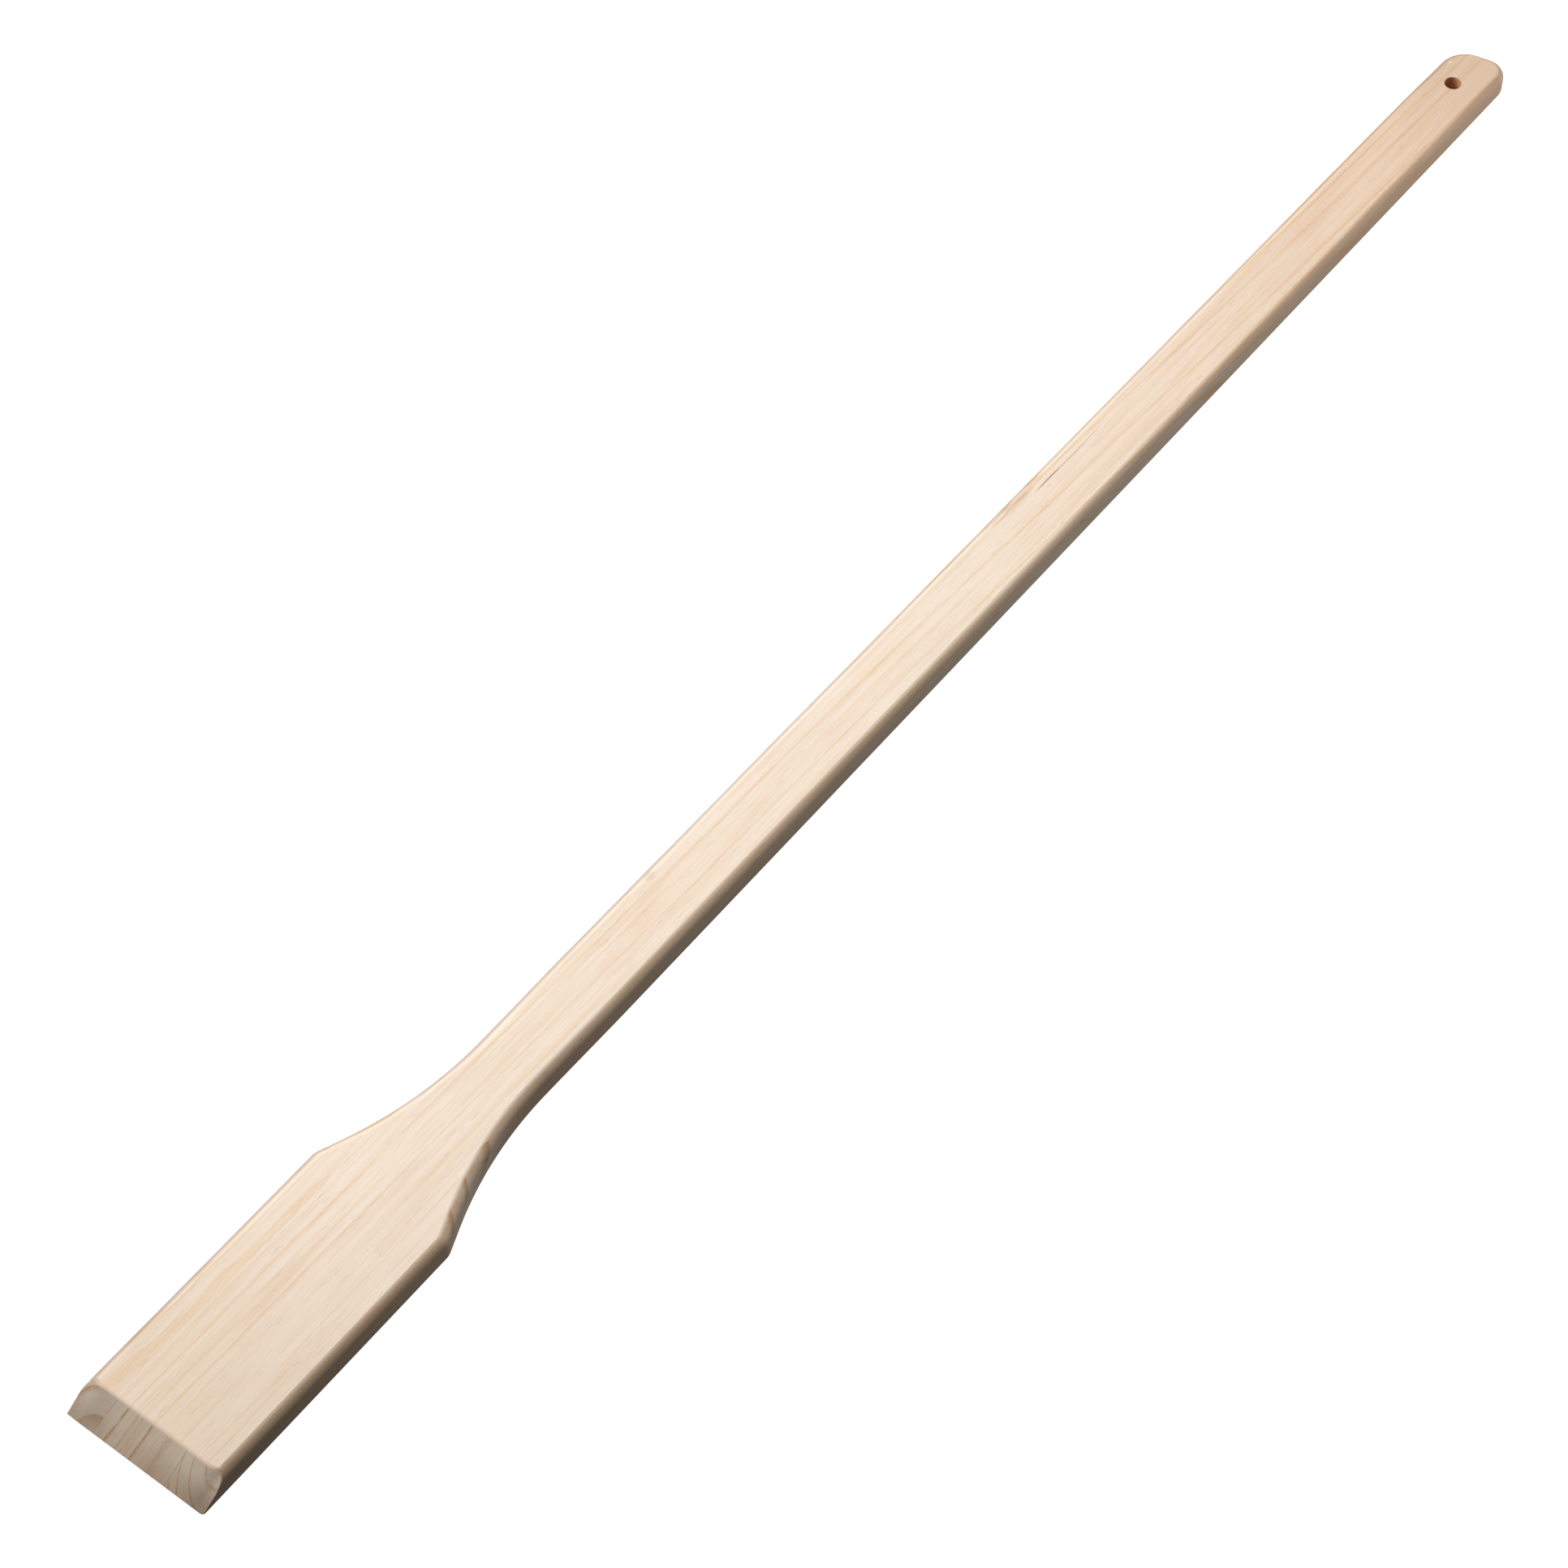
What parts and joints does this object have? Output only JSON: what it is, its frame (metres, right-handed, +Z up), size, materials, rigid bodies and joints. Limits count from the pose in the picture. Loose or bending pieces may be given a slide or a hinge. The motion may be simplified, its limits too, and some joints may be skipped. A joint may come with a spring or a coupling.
{
  "type": "wooden mixing paddle",
  "caption": "Long flat wooden mixing paddle edge-glued from pine boards, with a bevelled blade tip, rounded edges and a hang hole in the handle.",
  "frame": {"origin": "on the underside, at the middle of the length and of the width, where the paddle lies on a table", "axes": "+X along the grain from the bevelled tip to the end of the handle, +Y towards the left wing of the blade, +Z up out of the top face"},
  "size_m": [1.2192, 0.0888, 0.0159],
  "materials": {
    "centre_pine": "bare sanded, matte",
    "left_pine": "bare sanded, matte",
    "right_pine": "bare sanded, matte",
    "wood_glue": "dried glue stained by wood dust, matte"
  },
  "bodies": {
    "root": {"centre_stave": "centre_pine", "left_wing": "left_pine", "right_wing": "right_pine", "left_glue_line": "wood_glue", "right_glue_line": "wood_glue"}
  },
  "joints": []
}
